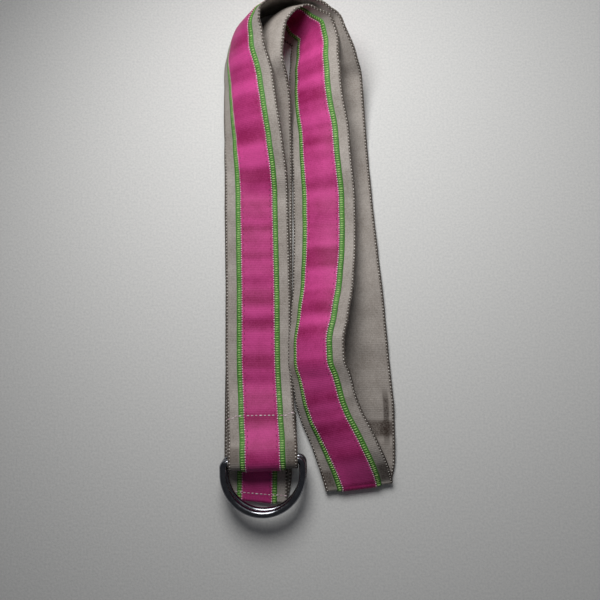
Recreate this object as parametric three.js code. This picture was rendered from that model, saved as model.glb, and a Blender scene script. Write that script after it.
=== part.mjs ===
// Double ring belt: one long striped strap with two D rings sewn into its end, lying
// as a loose hank. Millimetres, +Z up, the hank's length along Y, origin at the
// centre of its footprint on the surface it lies on.
import * as THREE from "three";

// Strap and ribbons
const STRAP_WIDTH = 38;
const GREEN_WIDTH = 25;
const PINK_WIDTH = 19;
const WEBBING_THICKNESS = 1.0;
const RIBBON_THICKNESS = 1.0;
const LAYER_GAP = 0.3;

// Hank
const HANK_LENGTH = 300;
const HEM_LENGTH = 11;
const FOLD_RADIUS = 0.8;
const HEM_RADIUS = 0.15;
const HEM_NARROWING = 0.9;
const TAB_LENGTH = 25;

// D rings
const RING_WIRE = 3.9;
const RING_INNER_WIDTH = 40.2;
const RING_LEG = 6.5;
const RING_CORNER = 2.8;
const RING_GAP = 0.25;
const RING_CLEARANCE = 0.35;
const RING_SIDE_SHIFT = 0.3;
const RING_AXIS_TURN = 2.5;
const BAR_RISE = 4.0;
const EYE_LEAD = 10;

// Fineness of the solids
const ROW_STEP = 8.5;
const TURN_STEPS = 8;
const RING_SIDES = 10;
const ARC_STEPS = 20;

const STRAP_THICKNESS = WEBBING_THICKNESS + 2 * (RIBBON_THICKNESS + LAYER_GAP);
const LAYER = STRAP_THICKNESS + LAYER_GAP;
const RING_PITCH = RING_WIRE + RING_GAP;
const EYE_RADIUS = (RING_PITCH + RING_WIRE) / 2 + RING_CLEARANCE;
const EYE_HEIGHT = LAYER + STRAP_THICKNESS + EYE_RADIUS;
const UP = new THREE.Vector3(0, 0, 1);

// A row is one cross-section of the strap's back face, met in the order in which the
// strap runs. x and y place its lower edge, in strap widths and hank lengths; stack
// is the height in strap layers; tipX and tipY say how far the other edge lies to
// the right and to the rear, in strap widths; cup is the bend across the strap in
// degrees, with the ribbons on the outside.
const TAIL_TO_FOLD = [
  { x: -1.09, y: -0.3735, stack: 0.923, tipX: 0.995, tipY: -0.1, cup: 0 },
  { x: -1.13, y: -0.333, stack: 0.923, tipX: 1.0, tipY: 0, cup: 0 },
  { x: -1.16, y: -0.167, stack: 0.923, tipX: 1.0, tipY: 0, cup: 0 },
  { x: -1.15, y: 0.0, stack: 0.923, tipX: 1.0, tipY: 0, cup: 0 },
  { x: -1.15, y: 0.2, stack: 0.923, tipX: 1.0, tipY: 0, cup: 0 },
  { x: -1.15, y: 0.293, stack: 0.923, tipX: 1.0, tipY: 0, cup: 0 },
  { x: -1.14, y: 0.353, stack: 0.87, tipX: 0.995, tipY: 0, cup: 0 },
  { x: -1.115, y: 0.393, stack: 0.55, tipX: 0.965, tipY: 0, cup: -6 },
  { x: -1.07, y: 0.437, stack: 0.42, tipX: 0.885, tipY: -0.06, cup: -20 },
  { x: -0.9, y: 0.483, stack: 0.3, tipX: 0.64, tipY: -0.13, cup: -40 },
  { x: -0.81, y: 0.531, stack: 0.25, tipX: 0.58, tipY: -0.15, cup: -45 },
  { x: -0.718, y: 0.559, stack: 0.2, tipX: 0.52, tipY: -0.22, cup: -48 },
  { x: -0.6, y: 0.576, stack: 0.15, tipX: 0.48, tipY: -0.24, cup: -48 },
  { x: -0.479, y: 0.584, stack: 0.12, tipX: 0.48, tipY: -0.2, cup: -46 },
  { x: -0.379, y: 0.579, stack: 0.12, tipX: 0.5, tipY: -0.12, cup: -40 },
  { x: -0.274, y: 0.554, stack: 0.12, tipX: 0.58, tipY: 0.02, cup: -25 },
  { x: -0.12, y: 0.536, stack: 0.15, tipX: 0.61, tipY: 0.06, cup: -8 },
  { x: -0.145, y: 0.514, stack: 0.2, tipX: 0.7, tipY: 0.1, cup: 8 },
  { x: -0.138, y: 0.496, stack: 0.2, tipX: 0.745, tipY: 0.08, cup: 20 },
  { x: -0.15, y: 0.47, stack: 0.2, tipX: 0.77, tipY: 0.05, cup: 32 },
  { x: -0.158, y: 0.423, stack: 0.2, tipX: 0.82, tipY: 0, cup: 45 },
  { x: -0.145, y: 0.387, stack: 0.2, tipX: 0.85, tipY: 0, cup: 47 },
  { x: -0.12, y: 0.349, stack: 0.2, tipX: 0.885, tipY: 0, cup: 46 },
  { x: -0.1, y: 0.27, stack: 0.25, tipX: 0.92, tipY: 0, cup: 42 },
  { x: -0.09, y: 0.19, stack: 0.3, tipX: 0.965, tipY: 0, cup: 38 },
  { x: -0.086, y: 0.11, stack: 0.35, tipX: 0.96, tipY: 0, cup: 40 },
  { x: -0.093, y: 0.03, stack: 0.6, tipX: 0.92, tipY: 0, cup: 44 },
  { x: -0.125, y: -0.047, stack: 1.3, tipX: 0.86, tipY: 0, cup: 50 },
  { x: -0.165, y: -0.103, stack: 1.6, tipX: 0.83, tipY: 0.04, cup: 58 },
  { x: -0.165, y: -0.137, stack: 1.6, tipX: 0.85, tipY: 0.07, cup: 58 },
  { x: -0.095, y: -0.162, stack: 1.45, tipX: 0.86, tipY: 0.12, cup: 58 },
  { x: -0.065, y: -0.193, stack: 1.0, tipX: 0.885, tipY: 0.16, cup: 56 },
  { x: 0.03, y: -0.233, stack: 0.7, tipX: 0.88, tipY: 0.22, cup: 54 },
  { x: 0.16, y: -0.273, stack: 0.85, tipX: 0.89, tipY: 0.24, cup: 46 },
  { x: 0.285, y: -0.317, stack: 1.15, tipX: 0.94, tipY: 0.2, cup: 26 },
  { x: 0.384, y: -0.3617, stack: 1.333, tipX: 0.9925, tipY: 0.1225, cup: 0 },
];
const FOLD_TO_RINGS = [
  { x: 0.384, y: -0.3617, stack: 0.923, tipX: 0.9925, tipY: 0.1225, cup: 0 },
  { x: 0.432, y: -0.307, stack: 0.923, tipX: 1.0, tipY: 0.03, cup: 0 },
  { x: 0.432, y: -0.223, stack: 0.923, tipX: 1.0, tipY: 0, cup: 0 },
  { x: 0.395, y: -0.157, stack: 0.923, tipX: 1.0, tipY: 0, cup: 0 },
  { x: 0.345, y: -0.079, stack: 0.923, tipX: 1.0, tipY: 0, cup: 0 },
  { x: 0.3, y: 0.0, stack: 0.923, tipX: 1.0, tipY: 0, cup: 0 },
  { x: 0.239, y: 0.077, stack: 0.923, tipX: 1.0, tipY: 0, cup: 0 },
  { x: 0.147, y: 0.202, stack: 0.923, tipX: 1.0, tipY: 0, cup: 0 },
  { x: 0.087, y: 0.3, stack: 0.923, tipX: 1.0, tipY: 0, cup: 0 },
  { x: 0.045, y: 0.367, stack: 0.85, tipX: 0.995, tipY: 0, cup: 0 },
  { x: 0.026, y: 0.417, stack: 0.7, tipX: 0.975, tipY: 0, cup: 0 },
  { x: 0.025, y: 0.443, stack: 0.55, tipX: 0.955, tipY: 0, cup: 0 },
  { x: 0.032, y: 0.468, stack: 0.4, tipX: 0.86, tipY: 0.02, cup: 0 },
  { x: 0.06, y: 0.49, stack: 0.3, tipX: 0.73, tipY: 0.05, cup: 0 },
  { x: 0.06, y: 0.508, stack: 0.25, tipX: 0.64, tipY: 0.06, cup: 0 },
  { x: 0.066, y: 0.527, stack: 0.2, tipX: 0.56, tipY: 0.04, cup: 0 },
  { x: 0.04, y: 0.542, stack: 0.15, tipX: 0.52, tipY: 0.0, cup: 0 },
  { x: 0.016, y: 0.557, stack: 0.12, tipX: 0.44, tipY: -0.06, cup: 0 },
  { x: 0.03, y: 0.573, stack: 0.1, tipX: 0.34, tipY: -0.13, cup: 0 },
  { x: 0.01, y: 0.587, stack: 0.1, tipX: 0.24, tipY: -0.19, cup: 0 },
  { x: 0.0, y: 0.598, stack: 0.1, tipX: 0.13, tipY: -0.25, cup: 0 },
  { x: -0.13, y: 0.613, stack: 0.1, tipX: 0.03, tipY: -0.28, cup: 0 },
  { x: -0.47, y: 0.61, stack: 0.1, tipX: 0.08, tipY: -0.31, cup: 6 },
  { x: -0.83, y: 0.59, stack: 0.12, tipX: 0.24, tipY: -0.33, cup: 16 },
  { x: -1.06, y: 0.56, stack: 0.2, tipX: 0.46, tipY: -0.22, cup: 30 },
  { x: -1.16, y: 0.53, stack: 0.3, tipX: 0.6, tipY: -0.1, cup: 42 },
  { x: -1.205, y: 0.495, stack: 0.4, tipX: 0.69, tipY: -0.02, cup: 50 },
  { x: -1.22, y: 0.462, stack: 0.5, tipX: 0.785, tipY: 0, cup: 50 },
  { x: -1.215, y: 0.387, stack: 0.6, tipX: 0.875, tipY: 0, cup: 38 },
  { x: -1.205, y: 0.313, stack: 0.8, tipX: 0.94, tipY: 0, cup: 20 },
  { x: -1.195, y: 0.257, stack: 1.0, tipX: 0.985, tipY: 0, cup: 8 },
  { x: -1.19, y: 0.197, stack: 1.0, tipX: 1.0, tipY: 0, cup: 0 },
  { x: -1.165, y: 0.077, stack: 1.0, tipX: 1.0, tipY: 0, cup: 0 },
  { x: -1.15, y: -0.003, stack: 1.0, tipX: 1.0, tipY: 0, cup: 0 },
  { x: -1.14, y: -0.12, stack: 1.0, tipX: 1.0, tipY: 0, cup: 0 },
  { x: -1.125, y: -0.18, stack: 1.05, tipX: 1.0, tipY: 0, cup: 0 },
  { x: -1.083, y: -0.205, stack: 1.85, tipX: 1.0, tipY: 0.01, cup: 0 },
  { x: -1.08, y: -0.23, stack: 2.2, tipX: 1.0, tipY: 0.02, cup: 0 },
];

// The two bars lie in the eye at the end of the strap, one up and out, one down and in.
const EYE = { x: -1.04, y: -0.307 };

function rowFrom(entry) {
  const rise = Math.sqrt(Math.max(0, 1 - entry.tipX ** 2 - entry.tipY ** 2));
  return {
    edge: new THREE.Vector3(entry.x * STRAP_WIDTH, entry.y * HANK_LENGTH, entry.stack * LAYER),
    across: new THREE.Vector3(entry.tipX, entry.tipY, rise).normalize(),
    cup: THREE.MathUtils.degToRad(entry.cup),
    width: 1,
  };
}

// Rows along a smooth curve through a table's rows, about ROW_STEP apart.
function smoothRows(rows) {
  const edges = new THREE.CatmullRomCurve3(rows.map((row) => row.edge), false, "centripetal");
  const result = [];
  for (let i = 0; i < rows.length - 1; i++) {
    const far = rows[i].edge.clone().addScaledVector(rows[i].across, STRAP_WIDTH);
    const nextFar = rows[i + 1].edge.clone().addScaledVector(rows[i + 1].across, STRAP_WIDTH);
    const span = Math.max(rows[i].edge.distanceTo(rows[i + 1].edge), far.distanceTo(nextFar));
    const count = Math.max(1, Math.round(span / ROW_STEP));
    for (let k = 0; k < count; k++) {
      const t = (i + k / count) / (rows.length - 1);
      result.push({
        edge: edges.getPoint(t),
        across: rows[i].across.clone().lerp(rows[i + 1].across, k / count).normalize(),
        cup: THREE.MathUtils.lerp(rows[i].cup, rows[i + 1].cup, k / count),
        width: THREE.MathUtils.lerp(rows[i].width, rows[i + 1].width, k / count),
      });
    }
  }
  result.push(rows[rows.length - 1]);
  return result;
}

// Rows of a half turn downwards about the strap's width, its ends left out.
function halfTurn(from, to) {
  from.normal = UP.clone();
  to.normal = UP.clone().negate();
  const middle = from.edge.clone().lerp(to.edge, 0.5);
  const radius = from.edge.distanceTo(to.edge) / 2;
  const outward = new THREE.Vector3().crossVectors(from.across, UP).normalize();
  const rows = [];
  for (let k = 1; k < TURN_STEPS; k++) {
    const angle = (Math.PI * k) / TURN_STEPS;
    const normal = UP.clone().multiplyScalar(Math.cos(angle));
    normal.addScaledVector(outward, Math.sin(angle));
    rows.push({
      edge: middle.clone().addScaledVector(normal, radius),
      across: from.across.clone(),
      cup: 0,
      width: from.width,
      normal,
    });
  }
  return rows;
}

// Eye at the end of the strap: a rise over the bars, a half turn and the sewn tab.
function eyeRows() {
  const turn = THREE.MathUtils.degToRad(RING_AXIS_TURN);
  const across = new THREE.Vector3(Math.cos(turn), Math.sin(turn), 0);
  const inward = new THREE.Vector3().crossVectors(UP, across);
  const centre = new THREE.Vector3(EYE.x * STRAP_WIDTH, EYE.y * HANK_LENGTH, EYE_HEIGHT);
  const place = (along, height) => ({
    edge: centre.clone().addScaledVector(inward, along).setZ(EYE_HEIGHT + height),
    across: across.clone(),
    cup: 0,
    width: 1,
  });
  const rise = [place(EYE_LEAD, EYE_RADIUS * 0.25), place(EYE_LEAD / 2, EYE_RADIUS * 0.82)];
  const top = place(0, EYE_RADIUS);
  const bottom = place(0, -EYE_RADIUS);
  const tab = [place(TAB_LENGTH / 2, -EYE_RADIUS), place(TAB_LENGTH, -EYE_RADIUS)];
  return { rise, top, bottom, tab };
}

// The turned end of the tail: its flap lies on the tail's back, ribbons up.
function hemRows(first) {
  const turned = { ...first, edge: first.edge.clone().addScaledVector(UP, 2 * HEM_RADIUS) };
  const start = { ...turned, edge: turned.edge.clone(), across: new THREE.Vector3(1, 0, 0) };
  start.edge.y += HEM_LENGTH;
  return [start, turned];
}

function strapRows() {
  const tail = TAIL_TO_FOLD.map(rowFrom);
  const front = FOLD_TO_RINGS.map(rowFrom);
  tail[0].width = HEM_NARROWING;
  const hem = hemRows(tail[0]);
  const eye = eyeRows();
  const last = tail[tail.length - 1];
  last.edge.z = front[0].edge.z + 2 * FOLD_RADIUS;
  const rows = [
    ...smoothRows(hem),
    ...halfTurn(hem[1], tail[0]),
    ...smoothRows(tail),
    ...halfTurn(last, front[0]),
    ...smoothRows([...front, ...eye.rise, eye.top]),
    ...halfTurn(eye.top, eye.bottom),
    eye.bottom,
    ...eye.tab,
  ];
  const middles = rows.map((row) => row.edge.clone().addScaledVector(row.across, STRAP_WIDTH / 2));
  rows.forEach((row, i) => {
    if (row.normal) return;
    const along = middles[Math.min(i + 1, rows.length - 1)].clone().sub(middles[Math.max(i - 1, 0)]);
    row.normal = new THREE.Vector3().crossVectors(along, row.across).normalize();
  });
  return rows;
}

// Points across one row at the given places, offset from the strap's back face.
const PLACES = [-STRAP_WIDTH, -GREEN_WIDTH, -PINK_WIDTH, 0, PINK_WIDTH, GREEN_WIDTH, STRAP_WIDTH]
  .map((width) => width / 2);

function sectionPoints(row, halfWidth, offset) {
  const bendAt = (place) => (row.cup * place) / STRAP_WIDTH;
  const point = row.edge.clone();
  const points = [];
  PLACES.forEach((place, i) => {
    if (i > 0) {
      const bend = bendAt((place + PLACES[i - 1]) / 2);
      const step = (place - PLACES[i - 1]) * row.width;
      point.addScaledVector(row.across, step * Math.cos(bend));
      point.addScaledVector(row.normal, -step * Math.sin(bend));
    }
    if (Math.abs(place) > halfWidth + 1e-6) return;
    const bend = bendAt(place);
    const outward = row.normal.clone().multiplyScalar(Math.cos(bend));
    outward.addScaledVector(row.across, Math.sin(bend));
    points.push(point.clone().addScaledVector(outward, offset));
  });
  return points;
}

// Closed solid swept through rows of closed loops of points.
function sweptSolid(loops) {
  const size = loops[0].length;
  const half = size / 2;
  const positions = loops.flat().flatMap((point) => [point.x, point.y, point.z]);
  const index = [];
  for (let i = 0; i < loops.length - 1; i++) {
    for (let k = 0; k < size; k++) {
      const a = i * size + k;
      const b = i * size + ((k + 1) % size);
      if (k < half) index.push(a, b, b + size, a, b + size, a + size);
      else index.push(a, b, a + size, b, b + size, a + size);
    }
  }
  for (let k = 0; k < half - 1; k++) {
    const end = (loops.length - 1) * size;
    const [a, b, c, d] = [k, k + 1, size - 2 - k, size - 1 - k];
    index.push(a, c, b, a, d, c);
    index.push(end + a, end + b, end + c, end + a, end + c, end + d);
  }
  const geometry = new THREE.BufferGeometry();
  geometry.setAttribute("position", new THREE.Float32BufferAttribute(positions, 3));
  geometry.setIndex(index);
  return geometry;
}

function bandGeometry(rows, width, offset, thickness) {
  const loops = rows.map((row) => {
    const inner = sectionPoints(row, width / 2, offset);
    const outer = sectionPoints(row, width / 2, offset + thickness);
    return [...inner, ...outer.reverse()];
  });
  return sweptSolid(loops);
}

// Centre line of a D ring in its own plane: straight bar, short legs and a half circle.
function ringPoints() {
  const half = (RING_INNER_WIDTH + RING_WIRE) / 2;
  const flat = (x, y) => new THREE.Vector3(x, y, 0);
  const points = [];
  const arc = (cx, cy, radius, from, to, steps) => {
    for (let k = 0; k <= steps; k++) {
      const angle = from + ((to - from) * k) / steps;
      points.push(flat(cx + radius * Math.cos(angle), cy + radius * Math.sin(angle)));
    }
  };
  arc(half - RING_CORNER, -RING_CORNER, RING_CORNER, Math.PI / 2, 0, 3);
  arc(0, -RING_LEG, half, 0, -Math.PI, ARC_STEPS);
  arc(RING_CORNER - half, -RING_CORNER, RING_CORNER, Math.PI, Math.PI / 2, 3);
  return points;
}

function ringGeometry() {
  const points = ringPoints();
  const count = points.length;
  const positions = [];
  points.forEach((point, i) => {
    const before = points[(i + count - 1) % count];
    const after = points[(i + 1) % count];
    const along = after.clone().sub(point).normalize().add(point.clone().sub(before).normalize());
    along.normalize();
    const side = new THREE.Vector3().crossVectors(along, UP);
    for (let k = 0; k < RING_SIDES; k++) {
      const angle = (2 * Math.PI * k) / RING_SIDES;
      const at = point.clone().addScaledVector(side, (RING_WIRE / 2) * Math.cos(angle));
      at.addScaledVector(UP, (RING_WIRE / 2) * Math.sin(angle));
      positions.push(at.x, at.y, at.z);
    }
  });
  const index = [];
  for (let i = 0; i < count; i++) {
    for (let k = 0; k < RING_SIDES; k++) {
      const a = i * RING_SIDES + k;
      const b = i * RING_SIDES + ((k + 1) % RING_SIDES);
      const c = ((i + 1) % count) * RING_SIDES + ((k + 1) % RING_SIDES);
      const d = ((i + 1) % count) * RING_SIDES + k;
      index.push(a, c, b, a, d, c);
    }
  }
  const geometry = new THREE.BufferGeometry();
  geometry.setAttribute("position", new THREE.Float32BufferAttribute(positions, 3));
  geometry.setIndex(index);
  return geometry;
}

function piece(name, geometry, colour, roughness, metalness) {
  geometry.computeVertexNormals();
  const material = new THREE.MeshStandardMaterial({ color: colour, roughness, metalness });
  const mesh = new THREE.Mesh(geometry, material);
  mesh.name = name;
  return mesh;
}

function strapPieces(rows) {
  const green = WEBBING_THICKNESS + LAYER_GAP;
  const pink = green + RIBBON_THICKNESS + LAYER_GAP;
  return [
    piece("webbing_strap", bandGeometry(rows, STRAP_WIDTH, 0, WEBBING_THICKNESS), 0x9b918a, 0.85, 0),
    piece("green_ribbon", bandGeometry(rows, GREEN_WIDTH, green, RIBBON_THICKNESS), 0x4fa03a, 0.75, 0),
    piece("pink_ribbon", bandGeometry(rows, PINK_WIDTH, pink, RIBBON_THICKNESS), 0xc0478c, 0.6, 0),
  ];
}

function ringPieces() {
  const turn = THREE.MathUtils.degToRad(RING_AXIS_TURN);
  const across = new THREE.Vector3(Math.cos(turn), Math.sin(turn), 0);
  const outward = new THREE.Vector3().crossVectors(across, UP);
  const barStep = Math.sqrt(RING_PITCH ** 2 - BAR_RISE ** 2);
  const centre = new THREE.Vector3(EYE.x * STRAP_WIDTH, EYE.y * HANK_LENGTH, EYE_HEIGHT);
  centre.addScaledVector(across, STRAP_WIDTH / 2);
  const place = (name, sign) => {
    const ring = piece(name, ringGeometry(), 0x15171b, 0.2, 1);
    ring.position.copy(centre).addScaledVector(outward, (sign * barStep) / 2);
    ring.position.addScaledVector(across, -sign * RING_SIDE_SHIFT);
    ring.position.z += (sign * BAR_RISE) / 2;
    ring.rotation.z = turn;
    return ring;
  };
  return [place("upper_d_ring", 1), place("lower_d_ring", -1)];
}

const group = new THREE.Group();
group.add(...strapPieces(strapRows()), ...ringPieces());
const box = new THREE.Box3().setFromObject(group);
const middle = box.getCenter(new THREE.Vector3());
group.position.set(-middle.x, -middle.y, -box.min.z);

export default group;
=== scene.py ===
import math
from collections import namedtuple

import bpy
import numpy as np
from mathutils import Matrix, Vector


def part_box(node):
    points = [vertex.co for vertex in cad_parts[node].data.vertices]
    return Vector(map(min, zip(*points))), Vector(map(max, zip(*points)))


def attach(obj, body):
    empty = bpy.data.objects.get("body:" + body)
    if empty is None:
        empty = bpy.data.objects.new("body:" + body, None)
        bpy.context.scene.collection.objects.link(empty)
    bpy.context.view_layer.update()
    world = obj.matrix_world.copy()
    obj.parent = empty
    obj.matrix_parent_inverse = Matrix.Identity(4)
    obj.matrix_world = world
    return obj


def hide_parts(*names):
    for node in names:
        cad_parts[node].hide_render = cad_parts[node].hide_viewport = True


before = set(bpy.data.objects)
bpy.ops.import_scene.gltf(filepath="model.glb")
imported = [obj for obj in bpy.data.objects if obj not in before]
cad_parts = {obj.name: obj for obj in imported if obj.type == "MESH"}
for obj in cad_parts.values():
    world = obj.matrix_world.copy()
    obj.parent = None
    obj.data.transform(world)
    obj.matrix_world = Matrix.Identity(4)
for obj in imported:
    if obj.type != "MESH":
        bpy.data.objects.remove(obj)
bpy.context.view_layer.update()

MM = 0.001

# Cloth sizes. The two ribbons are thinner than their solids and lie closer.
STRAP_WIDTH = 38 * MM
GREEN_WIDTH = 25 * MM
PINK_WIDTH = 19 * MM
WEBBING_THICKNESS = 1.1 * MM
RIBBON_THICKNESS = 0.45 * MM
LAYER_GAP = 0.04 * MM
GREEN_BACK = WEBBING_THICKNESS + LAYER_GAP
PINK_BACK = GREEN_BACK + RIBBON_THICKNESS + LAYER_GAP
GREEN_FRONT = GREEN_BACK + RIBBON_THICKNESS
PINK_FRONT = PINK_BACK + RIBBON_THICKNESS
STRAP_THICKNESS = PINK_FRONT
# How much of one strap layer the strap itself fills; a limb that rests on its ribbons
# has its back at this height
RESTING = 0.923
LAYER = STRAP_THICKNESS / RESTING
# How far a cloth's edge bulges out, in thicknesses, and the faces across each cloth
EDGE_BULGE = 0.3
WEBBING_COLUMNS = 26
GREEN_COLUMNS = 18
PINK_COLUMNS = 14

# The hank: its rows' unit of length, its middle in the frame and its turns. The hem is
# a little longer than the solid's and the fold a little tighter.
HANK_LENGTH = 300 * MM
HANK_MIDDLE = np.array((-3.7053, -30.9264, 0)) * MM
HEM_LENGTH = 15 * MM
HEM_NARROWING = 0.9
FOLD_RADIUS = 0.7 * MM
HEM_RADIUS = 0.15 * MM
TAB_LENGTH = 25 * MM
ROW_STEP = 1.6 * MM
TURN_STEPS = 14
# Steps in which a cupped section is bent across the strap
BEND_STEPS = 12

# Rings, as in the solids
RING_WIRE = 3.9 * MM
RING_INNER_WIDTH = 40.2 * MM
RING_LEG = 6.5 * MM
RING_CORNER = 2.8 * MM
RING_SIDE_SHIFT = 0.3 * MM
RING_AXIS_TURN = math.radians(2.5)
BAR_RISE = 4.0 * MM
RING_GAP = 0.25 * MM
RING_CLEARANCE = 0.35 * MM
RING_PITCH = RING_WIRE + RING_GAP
EYE_RADIUS = (RING_PITCH + RING_WIRE) / 2 + RING_CLEARANCE
EYE_PLACE = np.array((-1.04 * STRAP_WIDTH, -0.307 * HANK_LENGTH, 0))
EYE_LEAD = 10 * MM
# Heights of the strap's rise over the bars, in eye radii, at EYE_LEAD and half way
RISE_LOW = 0.25
RISE_HIGH = 0.82
# The tab's way down behind the bars: how far back it starts to fall and lands
TAB_START = 6 * MM
TAB_START_DROP = 0.8 * MM
TAB_LANDING = 14 * MM
TAB_LANDING_LIFT = 0.3 * MM

# Points along each stretch of a ring and round its wire
BAR_POINTS = 24
CORNER_STEPS = 10
ARC_STEPS = 96
RING_SIDES = 24

# Weave. The ribs of all three cloths are drawn at about the finest pitch that shows.
RIB_PITCH = 1.05 * MM
RIB_SHADE = 0.035
WEAVE_BUMP = 0.28
YARN_SIZE = 0.7 * MM
BLOTCH_SIZE = 9 * MM
# A cloth's colour between its dark and its light one, before the painted highlight and shade bands, flecks
# and ribs
BLOTCH_LOW = 0.38
BLOTCH_HIGH = 0.62
# Where the yarn lets a stain through fully, and how much shows where it is thinnest
STAIN_FULL = 0.65
STAIN_THIN = 0.25
# The middle stretch of a noise's values, which is the part that varies
NOISE_LOW = 0.3
NOISE_HIGH = 0.7

# Sizes of the marks in the other finishes
THREAD_SHADE_SIZE = 1.5 * MM
PLATE_WEAR_SIZE = 2.5 * MM
FELT_GRAIN = 1.3 * MM

# Thread beads: pitch along the line, and each bead's length, width and height
Beads = namedtuple("Beads", "pitch length width height")
WEBBING_EDGE_BEADS = Beads(1.9 * MM, 0.9 * MM, 0.8 * MM, 1.1 * MM)
WEBBING_ROW_BEADS = Beads(1.9 * MM, 1.05 * MM, 0.85 * MM, 0.4 * MM)
GREEN_EDGE_BEADS = Beads(1.4 * MM, 0.95 * MM, 2.5 * MM, 0.6 * MM)
PINK_EDGE_BEADS = Beads(1.4 * MM, 0.95 * MM, 0.95 * MM, 0.7 * MM)
PINK_ROW_BEADS = Beads(3.3 * MM, 1.9 * MM, 0.45 * MM, 0.25 * MM)
SEAM_BEADS = Beads(2.3 * MM, 2.0 * MM, 0.8 * MM, 0.5 * MM)
SMALLEST_BEAD = 0.82
LARGEST_BEAD = 1.12

# Places of the lines of thread, in from the edge of the strap or of a ribbon
WEBBING_EDGE_IN = 0.05 * MM
WEBBING_ROW_IN = 0.75 * MM
PINK_EDGE_IN = 0.1 * MM
PINK_EDGE_SUNK = 0.1 * MM
PINK_ROW_IN = 1.5 * MM
SEAM_IN = 1.0 * MM
SEAM_LIFT = 0.05 * MM
SEAM_POINTS = 40
TAB_SEAM_PLACE = (-21 * MM, -68 * MM)
TAB_SEAM_LEAN = -0.05
HEM_SEAM_IN = 3 * MM

# Ripples along the cloth: pitch, height and phase of each
RIPPLES = ((31 * MM, 0.22 * MM, 0.4), (19 * MM, 0.13 * MM, 2.1), (11.5 * MM, 0.06 * MM, 4.4))
RIPPLE_FADE = 25 * MM

UP = np.array((0.0, 0.0, 1.0))

# A row is one cross-section of the strap's back: x and y place its lower edge, in
# strap widths and hank lengths, stack is its height in strap layers, tip_x and tip_y
# say how far the other edge lies to the right and to the rear, in strap widths, and
# cup is the bend across the strap, in degrees, above zero with the ribbons outside.
Row = namedtuple("Row", "x y stack tip_x tip_y cup")
TAIL_TO_FOLD = [
    Row(-1.09, -0.3735, RESTING, 0.995, -0.1, 0),
    Row(-1.13, -0.333, RESTING, 1.0, 0, 0),
    Row(-1.14, -0.167, RESTING, 1.0, 0, 0),
    Row(-1.13, 0.0, RESTING, 1.0, 0, 0),
    Row(-1.13, 0.2, RESTING, 1.0, 0, 0),
    Row(-1.13, 0.293, RESTING, 1.0, 0, 0),
    Row(-1.14, 0.353, 0.87, 0.995, 0, 0),
    Row(-1.115, 0.393, 0.55, 0.965, 0, -6),
    Row(-1.07, 0.437, 0.42, 0.885, -0.06, -20),
    Row(-0.9, 0.483, 0.3, 0.64, -0.13, -40),
    Row(-0.81, 0.531, 0.25, 0.58, -0.15, -45),
    Row(-0.718, 0.559, 0.2, 0.52, -0.22, -48),
    Row(-0.6, 0.576, 0.15, 0.48, -0.24, -48),
    Row(-0.479, 0.584, 0.12, 0.48, -0.2, -46),
    Row(-0.379, 0.579, 0.12, 0.5, -0.12, -40),
    Row(-0.274, 0.554, 0.12, 0.58, 0.02, -25),
    Row(-0.12, 0.536, 0.15, 0.61, 0.06, -8),
    Row(-0.145, 0.514, 0.2, 0.7, 0.1, 8),
    Row(-0.138, 0.496, 0.2, 0.745, 0.08, 20),
    Row(-0.15, 0.47, 0.2, 0.77, 0.05, 32),
    Row(-0.158, 0.423, 0.2, 0.82, 0, 45),
    Row(-0.145, 0.387, 0.2, 0.85, 0, 47),
    Row(-0.12, 0.349, 0.2, 0.885, 0, 46),
    Row(-0.1, 0.27, 0.25, 0.92, 0, 42),
    Row(-0.09, 0.19, 0.3, 0.965, 0, 38),
    Row(-0.086, 0.11, 0.35, 0.96, 0, 40),
    Row(-0.093, 0.03, 0.6, 0.92, 0, 44),
    Row(-0.13, -0.047, 1.3, 0.86, 0, 50),
    Row(-0.158, -0.088, 1.6, 0.83, 0.03, 56),
    Row(-0.152, -0.125, 1.6, 0.84, 0.06, 58),
    Row(-0.106, -0.155, 1.5, 0.86, 0.11, 58),
    Row(-0.062, -0.19, 1.1, 0.88, 0.16, 56),
    Row(0.03, -0.233, 0.7, 0.88, 0.22, 54),
    Row(0.16, -0.273, 0.85, 0.89, 0.24, 46),
    Row(0.285, -0.317, 1.15, 0.94, 0.2, 26),
    Row(0.384, -0.3617, 1.333, 0.9925, 0.1225, 0),
]
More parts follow.
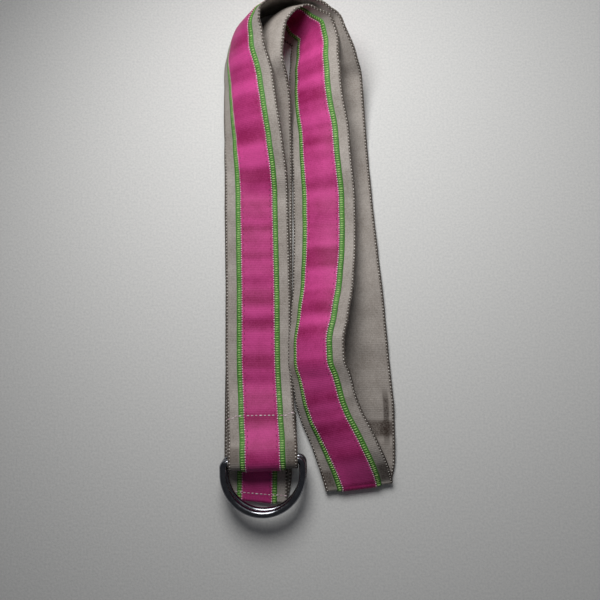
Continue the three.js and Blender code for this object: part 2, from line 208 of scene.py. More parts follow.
FOLD_TO_RINGS = [
    Row(0.384, -0.3617, RESTING, 0.9925, 0.1225, 0),
    Row(0.432, -0.307, RESTING, 1.0, 0.03, 0),
    Row(0.432, -0.223, RESTING, 1.0, 0, 0),
    Row(0.395, -0.157, RESTING, 1.0, 0, 0),
    Row(0.345, -0.079, RESTING, 1.0, 0, 0),
    Row(0.3, 0.0, RESTING, 1.0, 0, 0),
    Row(0.239, 0.077, RESTING, 1.0, 0, 0),
    Row(0.147, 0.202, RESTING, 1.0, 0, 0),
    Row(0.087, 0.3, RESTING, 1.0, 0, 0),
    Row(0.045, 0.367, 0.85, 0.995, 0, 0),
    Row(0.026, 0.417, 0.7, 0.975, 0, 0),
    Row(0.025, 0.443, 0.55, 0.955, 0, 0),
    Row(0.032, 0.468, 0.4, 0.86, 0.02, 0),
    Row(0.06, 0.49, 0.3, 0.73, 0.05, 0),
    Row(0.06, 0.508, 0.25, 0.64, 0.06, 0),
    Row(0.066, 0.527, 0.2, 0.56, 0.04, 0),
    Row(0.04, 0.542, 0.15, 0.52, 0.0, 0),
    Row(0.016, 0.557, 0.12, 0.44, -0.06, 0),
    Row(0.03, 0.573, 0.1, 0.34, -0.13, 0),
    Row(0.01, 0.587, 0.1, 0.24, -0.19, 0),
    Row(0.0, 0.598, 0.1, 0.13, -0.25, 0),
    Row(-0.13, 0.613, 0.1, 0.03, -0.28, 0),
    Row(-0.47, 0.61, 0.1, 0.08, -0.31, 6),
    Row(-0.83, 0.59, 0.12, 0.24, -0.33, 16),
    Row(-1.06, 0.56, 0.2, 0.46, -0.22, 30),
    Row(-1.16, 0.53, 0.3, 0.6, -0.1, 42),
    Row(-1.205, 0.495, 0.4, 0.69, -0.02, 50),
    Row(-1.22, 0.462, 0.5, 0.785, 0, 50),
    Row(-1.215, 0.387, 0.6, 0.875, 0, 38),
    Row(-1.205, 0.313, 0.8, 0.94, 0, 20),
    Row(-1.195, 0.257, 1.0, 0.985, 0, 8),
    Row(-1.19, 0.197, 1.0, 1.0, 0, 0),
    Row(-1.165, 0.077, 1.0, 1.0, 0, 0),
    Row(-1.15, -0.003, 1.0, 1.0, 0, 0),
    Row(-1.14, -0.1, 1.0, 1.0, 0, 0),
    Row(-1.128, -0.145, 1.25, 1.0, 0, 0),
    Row(-1.11, -0.18, 1.9, 1.0, 0, 0),
    Row(-1.093, -0.207, 2.8, 1.0, 0.01, 0),
    Row(-1.08, -0.235, 3.8, 1.0, 0.02, 0),
]


class Section:
    """One cross-section of the strap's back face, with normal towards the ribbons."""

    def __init__(self, edge, across, cup=0.0, normal=None, width=1.0):
        self.edge = np.array(edge, dtype=float)
        self.across = np.array(across, dtype=float) / np.linalg.norm(across)
        self.cup = cup
        self.normal = normal
        self.width = width

    @property
    def middle(self):
        return self.edge + self.across * (STRAP_WIDTH / 2)


def section_from(row):
    """Section of a row, tipped up by what its tip_x and tip_y leave of a whole width."""
    rise = math.sqrt(max(0.0, 1 - row.tip_x ** 2 - row.tip_y ** 2))
    edge = (row.x * STRAP_WIDTH, row.y * HANK_LENGTH, row.stack * LAYER)
    return Section(edge, (row.tip_x, row.tip_y, rise), math.radians(row.cup))


def smooth_columns(values, stations, where):
    """Values along a curve that never swings past its points, one column at a time."""
    step = np.diff(stations)[:, None]
    slope = np.diff(values, axis=0) / step
    tangent = np.empty_like(values)
    tangent[0] = slope[0]
    tangent[-1] = slope[-1]
    before, after = slope[:-1], slope[1:]
    same_way = before * after > 0
    weight_a = 2 * step[1:] + step[:-1]
    weight_b = step[1:] + 2 * step[:-1]
    safe_before = np.where(same_way, before, 1)
    safe_after = np.where(same_way, after, 1)
    mean = (weight_a + weight_b) / (weight_a / safe_before + weight_b / safe_after)
    tangent[1:-1] = np.where(same_way, mean, 0)
    span = np.clip(np.searchsorted(stations, where, side="right") - 1, 0, len(step) - 1)
    t = ((where - stations[span]) / step[span, 0])[:, None]
    h = step[span]
    return ((2 * t ** 3 - 3 * t ** 2 + 1) * values[span] + (t ** 3 - 2 * t ** 2 + t) * h * tangent[span]
            + (3 * t ** 2 - 2 * t ** 3) * values[span + 1] + (t ** 3 - t ** 2) * h * tangent[span + 1])


def smooth_stretch(sections):
    """The same stretch of strap with a section about every ROW_STEP."""
    edges = np.array([s.edge for s in sections])
    tips = np.array([s.edge + s.across * STRAP_WIDTH for s in sections])
    bends = np.array([[s.cup, s.width] for s in sections])
    travel = np.maximum(np.linalg.norm(np.diff(edges, axis=0), axis=1),
                        np.linalg.norm(np.diff(tips, axis=0), axis=1))
    stations = np.concatenate(([0.0], np.cumsum(travel)))
    where = np.linspace(0, stations[-1], max(2, round(stations[-1] / ROW_STEP) + 1))
    columns = np.hstack((edges, tips, bends))
    fine = smooth_columns(columns, stations, where)
    result = [Section(row[:3], row[3:6] - row[:3], row[6], width=row[7]) for row in fine]
    result[0].normal = sections[0].normal
    result[-1].normal = sections[-1].normal
    return result


def half_turn(start, end):
    """Sections of a half turn downwards about the strap's width, without its ends."""
    start.normal = UP.copy()
    end.normal = -UP
    centre = (start.edge + end.edge) / 2
    radius = np.linalg.norm(start.edge - end.edge) / 2
    outward = np.cross(start.across, UP)
    result = []
    for angle in np.linspace(0, math.pi, TURN_STEPS + 1)[1:-1]:
        normal = UP * math.cos(angle) + outward * math.sin(angle)
        result.append(Section(centre + normal * radius, start.across, 0.0, normal, start.width))
    return result


def ring_axes():
    """Directions along the bars and from the bars to the rear, along the strap."""
    across = np.array((math.cos(RING_AXIS_TURN), math.sin(RING_AXIS_TURN), 0))
    return across, np.cross(UP, across)


def eye_height():
    """Height midway between the two bars."""
    return (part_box("lower_d_ring")[0][2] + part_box("upper_d_ring")[1][2]) / 2


def eye_sections():
    """The rise over the bars, the two ends of the half turn, and the sewn tab."""
    across, inward = ring_axes()
    height = eye_height()
    tab_back = 2 * LAYER

    def place(along, z):
        edge = EYE_PLACE + inward * along
        edge[2] = z
        return Section(edge, across)

    rise = [place(EYE_LEAD, height + EYE_RADIUS * RISE_LOW),
            place(EYE_LEAD / 2, height + EYE_RADIUS * RISE_HIGH)]
    top = place(0, height + EYE_RADIUS)
    bottom = place(0, height - EYE_RADIUS)
    tab = [place(TAB_START, height - EYE_RADIUS - TAB_START_DROP),
           place(TAB_LANDING, tab_back + TAB_LANDING_LIFT),
           place(TAB_LENGTH, tab_back)]
    return rise, top, bottom, tab


def strap_sections():
    """All sections from the hem to the tab's end, and which of them make each stretch."""
    tail = [section_from(row) for row in TAIL_TO_FOLD]
    front = [section_from(row) for row in FOLD_TO_RINGS]
    tail[0].width = HEM_NARROWING
    turned = Section(tail[0].edge + UP * 2 * HEM_RADIUS, tail[0].across, width=HEM_NARROWING)
    hem_start = Section(turned.edge + np.array((0, HEM_LENGTH, 0)), (1, 0, 0), width=HEM_NARROWING)
    tail[-1].edge[2] = front[0].edge[2] + 2 * FOLD_RADIUS
    rise, top, bottom, tab = eye_sections()
    hem_turn = half_turn(turned, tail[0])
    fold_turn = half_turn(tail[-1], front[0])
    eye_turn = half_turn(top, bottom)
    parts = {}
    result = []
    stretches = (
        ("hem", smooth_stretch([hem_start, turned])),
        ("hem_turn", hem_turn),
        ("tail", smooth_stretch(tail)),
        ("fold_turn", fold_turn),
        ("front", smooth_stretch([*front, *rise, top])),
        ("eye_turn", eye_turn),
        ("tab", smooth_stretch([bottom, *tab])),
    )
    for name, sections in stretches:
        parts[name] = (len(result), len(result) + len(sections))
        result.extend(sections)
    middles = np.array([s.middle for s in result])
    for i, section in enumerate(result):
        if section.normal is None:
            along = middles[min(i + 1, len(result) - 1)] - middles[max(i - 1, 0)]
            section.normal = np.cross(along, section.across)
            section.normal /= np.linalg.norm(section.normal)
    add_ripples(result, parts)
    lift_off_floor(result)
    return result, parts


def add_ripples(result, parts):
    """Slow ripples on the limbs that show, none at the turns, where the cloth is pressed flat.

    The first half of the tail is hidden under the left limb and stays flat.
    """
    tail_first, tail_last = parts["tail"]
    crest = sum(height for _, height, _ in RIPPLES)
    for first, last in (((tail_first + tail_last) // 2, tail_last), parts["front"]):
        for i in range(first, last):
            inside = min(i - first, last - 1 - i) * ROW_STEP
            weight = min(1.0, inside / RIPPLE_FADE)
            along = (i - first) * ROW_STEP
            wave = sum(height * math.sin(2 * math.pi * along / pitch + phase)
                       for pitch, height, phase in RIPPLES)
            lift = UP * crest * abs(result[i].normal[2])
            result[i].edge = result[i].edge + (result[i].normal * wave + lift) * weight


def lift_off_floor(result):
    """Raises each stretch that dips below the floor, a little more widely than it dips."""
    reach = 5
    places = np.linspace(-STRAP_WIDTH / 2, STRAP_WIDTH / 2, 9)
    dips = [max(0.0, -min(point_at(section, place, offset)[2] for place in places
                          for offset in (0.0, WEBBING_THICKNESS, STRAP_THICKNESS)))
            for section in result]
    wide = [max(dips[max(0, i - reach):i + reach + 1]) for i in range(len(dips))]
    for i, section in enumerate(result):
        near = wide[max(0, i - reach):i + reach + 1]
        section.edge = section.edge + UP * (sum(near) / len(near))


def point_at(section, place, offset):
    """Point of a section, place metres from its centre line and offset above its back."""
    points = np.linspace(-STRAP_WIDTH / 2, place, BEND_STEPS + 1)
    bends = section.cup * (points[1:] + points[:-1]) / 2 / STRAP_WIDTH
    step = (place + STRAP_WIDTH / 2) / BEND_STEPS * section.width
    point = section.edge + section.across * (np.cos(bends).sum() * step)
    point = point - section.normal * (np.sin(bends).sum() * step)
    outward = facing_at(section, place)
    return point + outward * offset + HANK_MIDDLE


def facing_at(section, place):
    """Direction that the ribbons' side faces, at a place across the strap."""
    bend = section.cup * place / STRAP_WIDTH
    return section.normal * math.cos(bend) + section.across * math.sin(bend)


sections, parts = strap_sections()
middles = np.array([s.middle for s in sections])
stations = np.concatenate(([0.0], np.cumsum(np.linalg.norm(np.diff(middles, axis=0), axis=1))))


def nearest_station(part, x, y):
    """Distance along the strap where the middle of a named part passes nearest to a point."""
    first, last = parts[part]
    gap = np.linalg.norm(middles[first:last, :2] - np.array((x, y)), axis=1)
    return float(stations[first + int(gap.argmin())])


def mesh_object(name, points, faces, material, smooth=True):
    """A new mesh with one material, in the scene at the origin."""
    mesh = bpy.data.meshes.new(name)
    mesh.from_pydata([tuple(p) for p in points], [], faces)
    mesh.materials.append(material)
    mesh.polygons.foreach_set("use_smooth", [smooth] * len(mesh.polygons))
    thing = bpy.data.objects.new(name, mesh)
    bpy.context.collection.objects.link(thing)
    return thing


def cloth_band(name, width, back, thickness, columns, material):
    """A closed band of cloth along the whole strap; its lay attribute is (across, along, face)."""
    places = np.linspace(-width / 2, width / 2, columns + 1)
    round_out = thickness * EDGE_BULGE
    points = []
    lay = []
    for section, station in zip(sections, stations):
        lower = [point_at(section, place, back) for place in places]
        upper = [point_at(section, place, back + thickness) for place in places]
        right = point_at(section, width / 2, back + thickness / 2) + section.across * round_out
        left = point_at(section, -width / 2, back + thickness / 2) - section.across * round_out
        points += [*lower, right, *upper[::-1], left]
        lay += [(place, station, -1) for place in places] + [(width / 2, station, 0)]
        lay += [(place, station, 1) for place in places[::-1]] + [(-width / 2, station, 0)]
    size = 2 * (columns + 1) + 2
    faces = []
    for i in range(len(sections) - 1):
        for k in range(size):
            a = i * size + k
            b = i * size + (k + 1) % size
            faces.append((a, b, b + size, a + size))
    faces.append(tuple(range(size))[::-1])
    faces.append(tuple(range((len(sections) - 1) * size, len(sections) * size)))
    band = mesh_object(name, points, faces, material)
    attribute = band.data.attributes.new("lay", "FLOAT_VECTOR", "POINT")
    attribute.data.foreach_set("vector", np.array(lay, dtype=np.float32).ravel())
    return band


def linear(code):
    """Linear colour of an sRGB hex code."""
    values = [int(code[i:i + 2], 16) / 255 for i in (1, 3, 5)]
    return tuple(v / 12.92 if v <= 0.04045 else ((v + 0.055) / 1.055) ** 2.4 for v in values) + (1.0,)


def add(tree, kind, values=None, links=None, **settings):
    """Adds a node with its settings, its sockets' values and its links."""
    node = tree.nodes.new(kind)
    for name, value in settings.items():
        setattr(node, name, value)
    for socket, value in (values or {}).items():
        node.inputs[socket].default_value = value
    for socket, output in (links or {}).items():
        tree.links.new(output, node.inputs[socket])
    return node


def new_material(name):
    """A new material with an empty node tree."""
    material = bpy.data.materials.new(name)
    material.use_nodes = True
    material.node_tree.nodes.clear()
    return material, material.node_tree


def soft_patch(tree, across, along, centre, half):
    """1 inside a soft-edged patch of the strap, 0 outside."""
    solid_part = 0.45
    sides = []
    for output, middle, reach in ((across, centre[0], half[0]), (along, centre[1], half[1])):
        gap = add(tree, "ShaderNodeMath", {1: middle}, {0: output}, operation="SUBTRACT")
        size = add(tree, "ShaderNodeMath", None, {0: gap.outputs[0]}, operation="ABSOLUTE")
        sides.append(add(tree, "ShaderNodeMapRange",
                         {"From Min": reach * solid_part, "From Max": reach, "To Min": 1.0, "To Max": 0.0},
                         {"Value": size.outputs[0]}, interpolation_type="SMOOTHSTEP"))
    return add(tree, "ShaderNodeMath", None,
               {0: sides[0].outputs[0], 1: sides[1].outputs[0]}, operation="MULTIPLY").outputs[0]


def woven_material(name, light, dark, roughness, sheen, rib_depth, shade_band_pitch, shade_band_strength,
                   stains=(), painted_edge_shade=None, fleck=0.2, gloss=0.5):
    """Ribbed ribbon or webbing: threads across the strap, and light and dark bands along it of painted
    highlight and shade, as on a rippling cloth.

    The painted edge shade, if given, is where its dark rim of painted shade under the edge thread starts,
    where it is full, and its colour.
    """
    material, tree = new_material(name)
    lay = add(tree, "ShaderNodeAttribute", attribute_name="lay")
    parts_of_lay = add(tree, "ShaderNodeSeparateXYZ", None, {0: lay.outputs["Vector"]})
    across, along = parts_of_lay.outputs[0], parts_of_lay.outputs[1]
    phase = add(tree, "ShaderNodeMath", {1: 2 * math.pi / RIB_PITCH}, {0: along}, operation="MULTIPLY")
    rib = add(tree, "ShaderNodeMath", None, {0: phase.outputs[0]}, operation="SINE")
    threads = add(tree, "ShaderNodeTexNoise", {"Scale": 1 / YARN_SIZE, "Detail": 3.0, "Roughness": 0.7},
                  {"Vector": lay.outputs["Vector"]})
    # Bands along the cloth: painted highlight and shade, as of slow ripples, strongest on the pink ribbon
    shade_bands = add(tree, "ShaderNodeTexNoise", {"Scale": 1 / shade_band_pitch, "Detail": 1.5, "Roughness": 0.5},
                {"W": along}, noise_dimensions="1D")
    blotch = add(tree, "ShaderNodeTexNoise", {"Scale": 1 / BLOTCH_SIZE, "Detail": 2.0},
                 {"Vector": lay.outputs["Vector"]})
    shade_band_part = add(tree, "ShaderNodeMapRange",
                    {"From Min": NOISE_LOW, "From Max": NOISE_HIGH,
                     "To Min": -shade_band_strength, "To Max": shade_band_strength},
                    {"Value": shade_bands.outputs[0]})
    thread_part = add(tree, "ShaderNodeMapRange",
                      {"From Min": NOISE_LOW, "From Max": NOISE_HIGH, "To Min": -fleck, "To Max": fleck},
                      {"Value": threads.outputs[0]})
    blotch_part = add(tree, "ShaderNodeMapRange",
                      {"From Min": NOISE_LOW, "From Max": NOISE_HIGH,
                       "To Min": BLOTCH_LOW, "To Max": BLOTCH_HIGH},
                      {"Value": blotch.outputs[0]})
    rib_part = add(tree, "ShaderNodeMath", {1: RIB_SHADE}, {0: rib.outputs[0]}, operation="MULTIPLY")
    total = blotch_part.outputs[0]
    for part in (shade_band_part, thread_part, rib_part):
        total = add(tree, "ShaderNodeMath", None, {0: total, 1: part.outputs[0]},
                    operation="ADD", use_clamp=True).outputs[0]
    colour = add(tree, "ShaderNodeMix", {"A": linear(dark), "B": linear(light)}, None, data_type="RGBA")
    tree.links.new(total, colour.inputs["Factor"])
    result = colour.outputs["Result"]
    # A dark rim along each edge of the cloth: painted shade under the edge thread
    if painted_edge_shade:
        inner, outer, code = painted_edge_shade
        away = add(tree, "ShaderNodeMath", None, {0: across}, operation="ABSOLUTE")
        edge = add(tree, "ShaderNodeMapRange", {"From Min": inner, "From Max": outer},
                   {"Value": away.outputs[0]}, interpolation_type="SMOOTHSTEP")
        rim = add(tree, "ShaderNodeMix", {"B": linear(code)},
                  {"Factor": edge.outputs[0], "A": result}, data_type="RGBA")
        result = rim.outputs["Result"]
    for code, centre, half, strength in stains:
        mask = soft_patch(tree, across, along, centre, half)
        broken = add(tree, "ShaderNodeMapRange",
                     {"From Min": NOISE_LOW, "From Max": STAIN_FULL,
                      "To Min": STAIN_THIN * strength, "To Max": strength},
                     {"Value": threads.outputs[0]})
        amount = add(tree, "ShaderNodeMath", None, {0: mask, 1: broken.outputs[0]}, operation="MULTIPLY")
        stain = add(tree, "ShaderNodeMix", {"B": linear(code)},
                    {"Factor": amount.outputs[0], "A": result}, data_type="RGBA")
        result = stain.outputs["Result"]
    rib_height = add(tree, "ShaderNodeMath", {1: 0.5}, {0: rib.outputs[0]}, operation="MULTIPLY")
    height = add(tree, "ShaderNodeMath", None,
                 {0: rib_height.outputs[0], 1: threads.outputs[0]}, operation="ADD")
    bump = add(tree, "ShaderNodeBump", {"Strength": WEAVE_BUMP, "Distance": rib_depth},
               {"Height": height.outputs[0]})
    shader = add(tree, "ShaderNodeBsdfPrincipled",
                 {"Roughness": roughness, "Sheen Weight": sheen, "Sheen Roughness": 0.4, "IOR": 1.5,
                  "Specular IOR Level": gloss},
                 {"Base Color": result, "Normal": bump.outputs[0]})
    shader.inputs["Sheen Tint"].default_value = linear(light)
    add(tree, "ShaderNodeOutputMaterial", None, {"Surface": shader.outputs[0]})
    return material


def thread_material(name, light, dark, roughness):
    """Spun polyester sewing thread: soft sheen, slightly uneven in colour from stitch to stitch."""
    material, tree = new_material(name)
    place = add(tree, "ShaderNodeTexCoord")
    noise = add(tree, "ShaderNodeTexNoise", {"Scale": 1 / THREAD_SHADE_SIZE, "Detail": 2.0},
                {"Vector": place.outputs["Object"]})
    ramp = add(tree, "ShaderNodeMapRange", {"From Min": 0.35, "From Max": 0.65},
               {"Value": noise.outputs[0]})
    colour = add(tree, "ShaderNodeMix", {"A": linear(dark), "B": linear(light)},
                 {"Factor": ramp.outputs[0]}, data_type="RGBA")
    shader = add(tree, "ShaderNodeBsdfPrincipled", {"Roughness": roughness, "Sheen Weight": 0.2},
                 {"Base Color": colour.outputs["Result"]})
    add(tree, "ShaderNodeOutputMaterial", None, {"Surface": shader.outputs[0]})
    return material


def black_nickel():
    """Black nickel plate on bent steel wire: a dark mirror with fine hairline wear."""
    material, tree = new_material("black_nickel_plate_polished")
    place = add(tree, "ShaderNodeTexCoord")
    wear = add(tree, "ShaderNodeTexNoise", {"Scale": 1 / PLATE_WEAR_SIZE, "Detail": 4.0, "Roughness": 0.65},
               {"Vector": place.outputs["Object"]})
    gloss = add(tree, "ShaderNodeMapRange",
                {"From Min": 0.35, "From Max": NOISE_HIGH, "To Min": 0.12, "To Max": 0.26},
                {"Value": wear.outputs[0]})
    tint = add(tree, "ShaderNodeMix", {"A": linear("#6e7076"), "B": linear("#94969c")},
               {"Factor": wear.outputs[0]}, data_type="RGBA")
    bump = add(tree, "ShaderNodeBump", {"Strength": 0.15, "Distance": 0.05 * MM},
               {"Height": wear.outputs[0]})
    shader = add(tree, "ShaderNodeBsdfPrincipled", {"Metallic": 1.0},
                 {"Base Color": tint.outputs["Result"], "Roughness": gloss.outputs[0],
                  "Normal": bump.outputs[0]})
    add(tree, "ShaderNodeOutputMaterial", None, {"Surface": shader.outputs[0]})
    return material


def floor_material():
    """Pale matt card with a fine felted grain."""
    material, tree = new_material("matt_card_felted")
    place = add(tree, "ShaderNodeTexCoord")
    grain = add(tree, "ShaderNodeTexNoise", {"Scale": 1 / FELT_GRAIN, "Detail": 4.0, "Roughness": 0.6},
                {"Vector": place.outputs["Object"]})
    ramp = add(tree, "ShaderNodeMapRange", {"From Min": NOISE_LOW, "From Max": NOISE_HIGH},
               {"Value": grain.outputs[0]})
    colour = add(tree, "ShaderNodeMix", {"A": linear("#dfe0e0"), "B": linear("#f0f0ef")},
                 {"Factor": ramp.outputs[0]}, data_type="RGBA")
    bump = add(tree, "ShaderNodeBump", {"Strength": 0.35, "Distance": 0.25 * MM},
               {"Height": grain.outputs[0]})
    shader = add(tree, "ShaderNodeBsdfPrincipled", {"Roughness": 0.9, "Specular IOR Level": 0.2},
                 {"Base Color": colour.outputs["Result"], "Normal": bump.outputs[0]})
    add(tree, "ShaderNodeOutputMaterial", None, {"Surface": shader.outputs[0]})
    return material


def stitch_tree():
    """Geometry Nodes tree: one small thread bead at every spacing along an edge line."""
    tree = bpy.data.node_groups.new("thread_beads_along_line", "GeometryNodeTree")
    tree.is_modifier = True
    tree.interface.new_socket("Line", in_out="INPUT", socket_type="NodeSocketGeometry")
    usual = (("Spacing", 1.6 * MM), ("Length", 1.2 * MM), ("Width", 0.6 * MM), ("Height", 0.4 * MM))
    for name, value in usual:
        socket = tree.interface.new_socket(name, in_out="INPUT", socket_type="NodeSocketFloat")
        socket.default_value = value
    tree.interface.new_socket("Seed", in_out="INPUT", socket_type="NodeSocketInt")
    tree.interface.new_socket("Thread", in_out="INPUT", socket_type="NodeSocketMaterial")
    tree.interface.new_socket("Stitches", in_out="OUTPUT", socket_type="NodeSocketGeometry")
    given = add(tree, "NodeGroupInput")
    curve = add(tree, "GeometryNodeMeshToCurve", None, {0: given.outputs["Line"]})
    points = add(tree, "GeometryNodeResampleCurve", None,
                 {"Curve": curve.outputs[0], "Length": given.outputs["Spacing"]}, mode="LENGTH")
    tangent = add(tree, "GeometryNodeInputTangent")
    facing = add(tree, "GeometryNodeInputNamedAttribute", {"Name": "facing"}, data_type="FLOAT_VECTOR")
    turned = add(tree, "FunctionNodeAlignRotationToVector", None, {"Vector": tangent.outputs[0]}, axis="X")
    stood = add(tree, "FunctionNodeAlignRotationToVector", None,
                {"Rotation": turned.outputs[0], "Vector": facing.outputs[0]}, axis="Z", pivot_axis="X")
    bead = add(tree, "GeometryNodeMeshIcoSphere", {"Radius": 0.5, "Subdivisions": 1})
    size = add(tree, "ShaderNodeCombineXYZ", None,
               {0: given.outputs["Length"], 1: given.outputs["Width"], 2: given.outputs["Height"]})
    jitter = add(tree, "FunctionNodeRandomValue", {2: SMALLEST_BEAD, 3: LARGEST_BEAD},
                 {"Seed": given.outputs["Seed"]}, data_type="FLOAT")
    scaled = add(tree, "ShaderNodeVectorMath", None, {0: size.outputs[0]}, operation="SCALE")
    tree.links.new(jitter.outputs[1], scaled.inputs["Scale"])
    placed = add(tree, "GeometryNodeInstanceOnPoints", None,
                 {"Points": points.outputs[0], "Instance": bead.outputs[0],
                  "Rotation": stood.outputs[0], "Scale": scaled.outputs[0]})
    real = add(tree, "GeometryNodeRealizeInstances", None, {0: placed.outputs[0]})
    smooth = add(tree, "GeometryNodeSetShadeSmooth", None, {0: real.outputs[0]})
    painted = add(tree, "GeometryNodeSetMaterial", None,
                  {"Geometry": smooth.outputs[0], "Material": given.outputs["Thread"]})
    add(tree, "NodeGroupOutput", None, {0: painted.outputs[0]})
    return tree


STITCHES = stitch_tree()


def line_along(place, offset):
    """Points and facings along the whole strap, at a place across it."""
    return [(point_at(s, place, offset), facing_at(s, place)) for s in sections]


def both_edges(half_width, offset):
    """The line at the left and the line at the right, equally far from the middle."""
    return [line_along(side * half_width, offset) for side in (-1, 1)]


def thread_rows(name, lines, beads, material, seed):
    """One piece of thread beads along several lines."""
    mesh = bpy.data.meshes.new(name + "_lines")
    points = [point for line in lines for point, _ in line]
    edges = []
    first = 0
    for line in lines:
        edges += [(first + i, first + i + 1) for i in range(len(line) - 1)]
        first += len(line)
    mesh.from_pydata([tuple(p) for p in points], edges, [])
    attribute = mesh.attributes.new("facing", "FLOAT_VECTOR", "POINT")
    facings = np.array([facing for line in lines for _, facing in line], dtype=np.float32)
    attribute.data.foreach_set("vector", facings.ravel())
    base = bpy.data.objects.new(name + "_lines", mesh)
    bpy.context.collection.objects.link(base)
    modifier = base.modifiers.new("beads", "NODES")
    modifier.node_group = STITCHES
    inputs = {"Spacing": beads.pitch, "Length": beads.length, "Width": beads.width,
              "Height": beads.height, "Seed": seed, "Thread": material}
    for item in STITCHES.interface.items_tree:
        if item.in_out == "INPUT" and item.name in inputs:
            modifier[item.identifier] = inputs[item.name]
    evaluated = base.evaluated_get(bpy.context.evaluated_depsgraph_get())
    made = bpy.data.meshes.new_from_object(evaluated)
    made.name = name
    bpy.data.objects.remove(base)
    thing = bpy.data.objects.new(name, made)
    bpy.context.collection.objects.link(thing)
    return thing


def ring_outline():
    """Centre line of a D ring: straight bar, two corners, short legs and a half circle."""
    half = (RING_INNER_WIDTH + RING_WIRE) / 2
    points = [(x, 0.0) for x in np.linspace(-(half - RING_CORNER), half - RING_CORNER, BAR_POINTS)]

    def arc(x, y, radius, start, end, steps):
        for angle in np.linspace(start, end, steps + 1)[1:]:
            points.append((x + radius * math.cos(angle), y + radius * math.sin(angle)))

    arc(half - RING_CORNER, -RING_CORNER, RING_CORNER, math.pi / 2, 0, CORNER_STEPS)
    arc(0, -RING_LEG, half, 0, -math.pi, ARC_STEPS)
    arc(-(half - RING_CORNER), -RING_CORNER, RING_CORNER, math.pi, math.pi / 2, CORNER_STEPS)
    return np.array(points[:-1])


def d_ring(name, side, material):
    """A bent and welded wire ring; side is 1 for the upper one and -1 for the lower."""
    across, inward = ring_axes()
    bar_step = math.sqrt(RING_PITCH ** 2 - BAR_RISE ** 2)
    centre = EYE_PLACE + HANK_MIDDLE + across * (STRAP_WIDTH / 2 - side * RING_SIDE_SHIFT)
    centre = centre - inward * side * bar_step / 2
    centre[2] = eye_height() + side * BAR_RISE / 2
    outline = ring_outline()
    count = len(outline)
    points = []
    for i, (x, y) in enumerate(outline):
        ahead = outline[(i + 1) % count] - outline[i - 1]
        ahead /= np.linalg.norm(ahead)
        side_way = across * ahead[1] - inward * ahead[0]
        for angle in np.linspace(0, 2 * math.pi, RING_SIDES, endpoint=False):
            offset = side_way * math.cos(angle) + UP * math.sin(angle)
            points.append(centre + across * x + inward * y + offset * RING_WIRE / 2)
    faces = []
    for i in range(count):
        for k in range(RING_SIDES):
            a = i * RING_SIDES + k
            b = i * RING_SIDES + (k + 1) % RING_SIDES
            c = ((i + 1) % count) * RING_SIDES + (k + 1) % RING_SIDES
            d = ((i + 1) % count) * RING_SIDES + k
            faces.append((a, d, c, b))
    return mesh_object(name, points, faces, material)


# Stains on the back of the right limb, by the bottom fold and beside the eye: colour,
# middle across and along the strap, half sizes and strength of each
right_limb = nearest_station("front", 35.5 * MM, -75 * MM)
line_stain = nearest_station("front", 35.5 * MM, -68 * MM)
fold_edge = nearest_station("tail", 31 * MM, -100 * MM)
eye_edge = nearest_station("front", -21 * MM, -88 * MM)
STAINS = (
    ("#33251d", (14.5 * MM, line_stain), (2.2 * MM, 19 * MM), 1.0),
    ("#3d2e25", (4 * MM, right_limb), (19 * MM, 6.5 * MM), 1.0),
    ("#33251d", (14.5 * MM, right_limb), (5 * MM, 5 * MM), 0.8),
    ("#3a2b22", (-16.5 * MM, fold_edge), (5 * MM, 8 * MM), 1.0),
    ("#3a2b22", (16.5 * MM, fold_edge), (5 * MM, 7 * MM), 0.9),
    ("#4b3b31", (-15.5 * MM, eye_edge), (4 * MM, 6 * MM), 0.75),
    ("#4b3b31", (16 * MM, eye_edge), (4.5 * MM, 10 * MM), 0.85),
)

# Cotton webbing: matt, flecked from yarn to yarn, with a dark rim of painted shade under its edge thread
webbing_cloth = woven_material("cotton_webbing_ribbed", "#bfb8b2", "#8b827b", roughness=0.85, sheen=0.15,
                               rib_depth=0.18 * MM, shade_band_pitch=30 * MM, shade_band_strength=0.14,
                               stains=STAINS, painted_edge_shade=(17.3 * MM, 18.3 * MM, "#564e48"), fleck=0.34)
# Polyester grosgrain: fine cross ribs, smoother than the webbing
green_cloth = woven_material("polyester_grosgrain_green", "#58983a", "#32701f", roughness=0.6, sheen=0.1,
                             rib_depth=0.15 * MM, shade_band_pitch=18 * MM, shade_band_strength=0.2)
# The pink ribbon's broad light and dark bands are painted highlight and shade, as where it ripples, and its
# light colour is a paler painted highlight
pink_cloth = woven_material("polyester_grosgrain_pink", "#da4f9a", "#97215a", roughness=0.5, sheen=0.0,
                            rib_depth=0.12 * MM, shade_band_pitch=14 * MM, shade_band_strength=0.38, gloss=0.15)
pink_thread = thread_material("spun_thread_pale_pink", "#fbe3ec", "#e39fbe", 0.6)
green_thread = thread_material("spun_thread_bright_green", "#bce28e", "#70b048", 0.55)
taupe_thread = thread_material("spun_thread_taupe", "#ece7e0", "#b4aca4", 0.7)
seam_thread = thread_material("spun_thread_rose_white", "#f6e8ee", "#d3a7b8", 0.6)
deep_pink_thread = thread_material("spun_thread_deep_pink", "#a63c72", "#7c2452", 0.6)
ring_metal = black_nickel()

webbing = cloth_band("webbing_cloth", STRAP_WIDTH, 0.0, WEBBING_THICKNESS,
                     WEBBING_COLUMNS, webbing_cloth)
green = cloth_band("green_ribbon_cloth", GREEN_WIDTH, GREEN_BACK, RIBBON_THICKNESS,
                   GREEN_COLUMNS, green_cloth)
pink = cloth_band("pink_ribbon_cloth", PINK_WIDTH, PINK_BACK, RIBBON_THICKNESS,
                  PINK_COLUMNS, pink_cloth)

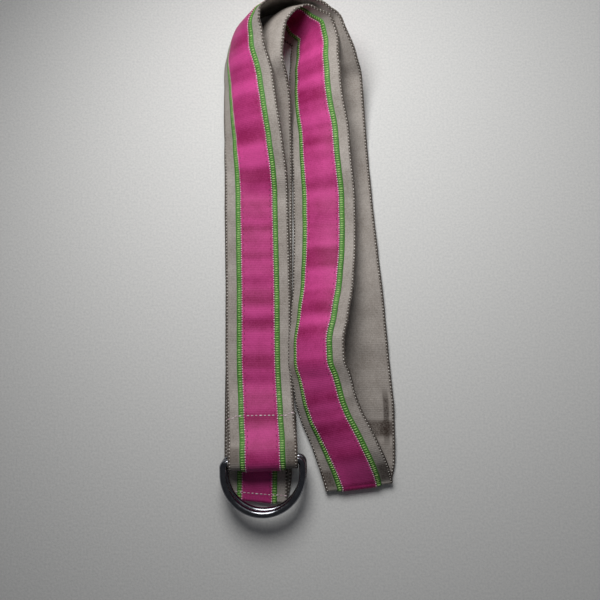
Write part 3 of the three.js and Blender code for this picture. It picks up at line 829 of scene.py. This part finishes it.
edge_lines = both_edges(STRAP_WIDTH / 2 - WEBBING_EDGE_IN, WEBBING_THICKNESS / 2)
webbing_edge = thread_rows("webbing_edge_thread", edge_lines, WEBBING_EDGE_BEADS, taupe_thread, 1)
row_lines = [line for face in (WEBBING_THICKNESS, 0.0)
             for line in both_edges(STRAP_WIDTH / 2 - WEBBING_ROW_IN, face)]
webbing_rows = thread_rows("webbing_stitch_rows", row_lines, WEBBING_ROW_BEADS, taupe_thread, 2)
green_lines = both_edges((GREEN_WIDTH + PINK_WIDTH) / 4, GREEN_FRONT)
green_edge = thread_rows("green_edge_thread", green_lines, GREEN_EDGE_BEADS, green_thread, 3)
pink_lines = both_edges(PINK_WIDTH / 2 - PINK_EDGE_IN, PINK_FRONT - PINK_EDGE_SUNK)
pink_edge = thread_rows("pink_edge_thread", pink_lines, PINK_EDGE_BEADS, pink_thread, 4)
pink_row_lines = both_edges(PINK_WIDTH / 2 - PINK_ROW_IN, PINK_FRONT)
pink_rows = thread_rows("pink_stitch_rows", pink_row_lines, PINK_ROW_BEADS, deep_pink_thread, 5)


def seam_line(station, lean):
    """Points across the front of the strap, at the height of whatever layer lies there."""
    line = []
    for place in np.linspace(-STRAP_WIDTH / 2 + SEAM_IN, STRAP_WIDTH / 2 - SEAM_IN, SEAM_POINTS):
        section = sections[int(np.abs(stations - (station + lean * place)).argmin())]
        front = WEBBING_THICKNESS
        if abs(place) < PINK_WIDTH / 2:
            front = PINK_FRONT
        elif abs(place) < GREEN_WIDTH / 2:
            front = GREEN_FRONT
        line.append((point_at(section, place, front + SEAM_LIFT), facing_at(section, place)))
    return line


tab_seam = seam_line(nearest_station("front", *TAB_SEAM_PLACE), TAB_SEAM_LEAN)
hem_seam = seam_line(float(stations[parts["hem"][1] - 1]) - HEM_SEAM_IN, 0.0)
cross_seams = thread_rows("cross_seams", [tab_seam, hem_seam], SEAM_BEADS, seam_thread, 6)

upper_ring = d_ring("upper_ring_wire", 1, ring_metal)
lower_ring = d_ring("lower_ring_wire", -1, ring_metal)

for piece in (webbing, green, pink, webbing_edge, webbing_rows, green_edge, pink_edge, pink_rows,
              cross_seams):
    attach(piece, "strap")
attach(upper_ring, "upper_ring")
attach(lower_ring, "lower_ring")
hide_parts("webbing_strap")
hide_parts("green_ribbon")
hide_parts("pink_ribbon")
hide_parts("upper_d_ring")
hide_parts("lower_d_ring")

# Floor, light and camera
HALF_FLOOR = 1.5
floor_corners = [(-HALF_FLOOR, -HALF_FLOOR, 0), (HALF_FLOOR, -HALF_FLOOR, 0),
                 (HALF_FLOOR, HALF_FLOOR, 0), (-HALF_FLOOR, HALF_FLOOR, 0)]
floor = mesh_object("floor", floor_corners, [(0, 1, 2, 3)], floor_material(), smooth=False)


def area_light(name, place, target, size, power, colour):
    """A round light, size metres wide, at a place and turned to a target."""
    light = bpy.data.lights.new(name, "AREA")
    light.shape = "DISK"
    light.size = size
    light.energy = power
    light.color = colour
    thing = bpy.data.objects.new(name, light)
    thing.location = place
    thing.rotation_euler = (Vector(target) - Vector(place)).to_track_quat("-Z", "Y").to_euler()
    bpy.context.collection.objects.link(thing)


# A near window light from the rear left, and a weak wide one from the rear right
area_light("window_light", place=(-0.05, 0.165, 0.288), target=(0.24, -0.24, 0), size=0.22, power=1.14,
           colour=(1.0, 0.99, 0.97))
area_light("fill_light", place=(0.3, 0.5, 0.5), target=(0, 0.05, 0), size=0.5, power=0.2,
           colour=(0.97, 0.98, 1.0))
ROOM_LIGHT = 0.06
world = bpy.data.worlds.new("soft_room")
world.use_nodes = True
world.node_tree.nodes["Background"].inputs["Color"].default_value = (0.9, 0.93, 1.0, 1.0)
world.node_tree.nodes["Background"].inputs["Strength"].default_value = ROOM_LIGHT
bpy.context.scene.world = world
bpy.context.scene.view_settings.view_transform = "Standard"

CAMERA_DISTANCE = 358 * MM
CAMERA_ELEVATION = math.radians(82.5)
SENSOR_WIDTH = 36.0
FOCAL_IN_WIDTHS = 1.0
CLIP_START = 0.01
camera_data = bpy.data.cameras.new("camera")
camera_data.sensor_width = SENSOR_WIDTH
camera_data.lens = SENSOR_WIDTH * FOCAL_IN_WIDTHS
camera_data.clip_start = CLIP_START
camera = bpy.data.objects.new("camera", camera_data)
bpy.context.collection.objects.link(camera)
camera.location = Vector(HANK_MIDDLE) + Vector((0, -CAMERA_DISTANCE * math.cos(CAMERA_ELEVATION),
                                                 CAMERA_DISTANCE * math.sin(CAMERA_ELEVATION)))
camera.rotation_euler = (math.pi / 2 - CAMERA_ELEVATION, 0, 0)
bpy.context.scene.camera = camera
